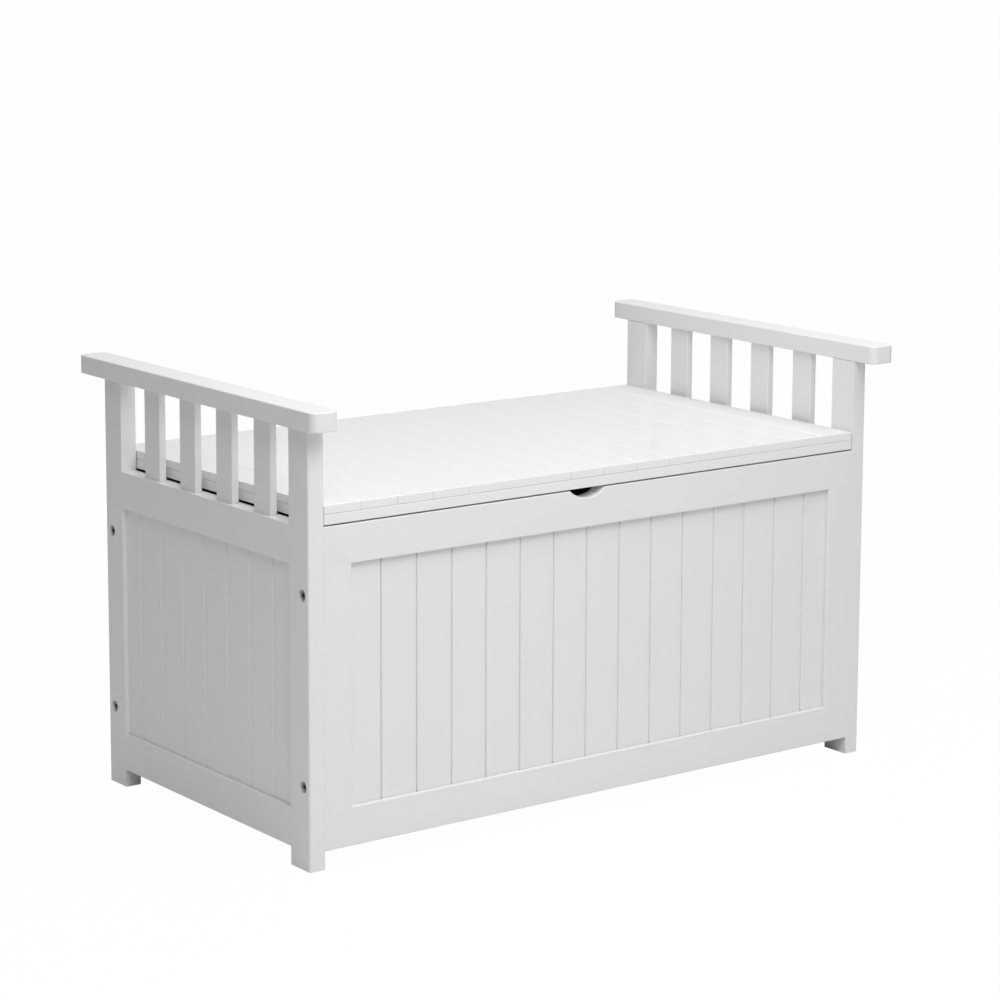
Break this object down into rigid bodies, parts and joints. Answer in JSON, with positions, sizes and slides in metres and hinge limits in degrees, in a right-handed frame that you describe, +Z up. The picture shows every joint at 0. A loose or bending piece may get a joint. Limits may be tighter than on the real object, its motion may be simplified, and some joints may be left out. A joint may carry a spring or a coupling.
{
  "type": "storage bench",
  "caption": "White painted wooden storage bench with slatted arms, V-grooved panels and a hinged plank seat that opens for the compartment below.",
  "frame": {"origin": "on the floor, under the middle of the bench", "axes": "+X along the bench, to the right as seen from the front; +Y to the back; +Z up"},
  "size_m": [0.934, 0.558, 0.57],
  "materials": {
    "white_paint": "white satin lacquer on solid wood, edges lightly eased",
    "lid_paint": "white lacquer on wooden boards, glossier than the frame",
    "base_paint": "white lacquered plywood, matt",
    "hinge_steel": "zinc-plated steel",
    "bumper_pad": "pale soft felt-like pad"
  },
  "bodies": {
    "carcass": {"left_front_post": "white_paint", "left_back_post": "white_paint", "right_front_post": "white_paint", "right_back_post": "white_paint", "left_arm": "white_paint", "right_arm": "white_paint", "front_top_rail": "white_paint", "front_bottom_rail": "white_paint", "front_left_stile": "white_paint", "front_right_stile": "white_paint", "back_top_rail": "white_paint", "back_bottom_rail": "white_paint", "back_left_stile": "white_paint", "back_right_stile": "white_paint", "left_top_rail": "white_paint", "left_bottom_rail": "white_paint", "right_top_rail": "white_paint", "right_bottom_rail": "white_paint", "front_panel": "white_paint", "back_panel": "white_paint", "left_panel": "white_paint", "right_panel": "white_paint", "left_slat_1": "white_paint", "left_slat_2": "white_paint", "left_slat_3": "white_paint", "left_slat_4": "white_paint", "right_slat_1": "white_paint", "right_slat_2": "white_paint", "right_slat_3": "white_paint", "right_slat_4": "white_paint", "base_board": "base_paint", "left_bumper": "bumper_pad", "right_bumper": "bumper_pad", "left_hinge_rail_leaf": "hinge_steel", "left_hinge_pin": "hinge_steel", "right_hinge_rail_leaf": "hinge_steel", "right_hinge_pin": "hinge_steel"},
    "lid": {"lid_board_1": "lid_paint", "lid_board_2": "lid_paint", "lid_board_3": "lid_paint", "lid_board_4": "lid_paint", "lid_board_5": "lid_paint", "lid_board_6": "lid_paint", "lid_board_7": "lid_paint", "lid_board_8": "lid_paint", "lid_board_9": "lid_paint", "lid_board_10": "lid_paint", "lid_board_11": "lid_paint", "lid_board_12": "lid_paint", "lid_board_13": "lid_paint", "lid_board_14": "lid_paint", "lid_board_15": "lid_paint", "lid_board_16": "lid_paint", "lid_front_batten": "lid_paint", "lid_back_batten": "lid_paint", "lid_left_batten": "lid_paint", "lid_right_batten": "lid_paint", "left_hinge_lid_leaf": "hinge_steel", "right_hinge_lid_leaf": "hinge_steel"}
  },
  "joints": [
    {"name": "lid_hinge", "type": "hinge", "parent": "carcass", "child": "lid", "pos_m": [0, 0.2453, 0.425], "axis": [-1, 0, 0], "range_deg": [0, 95]}
  ]
}
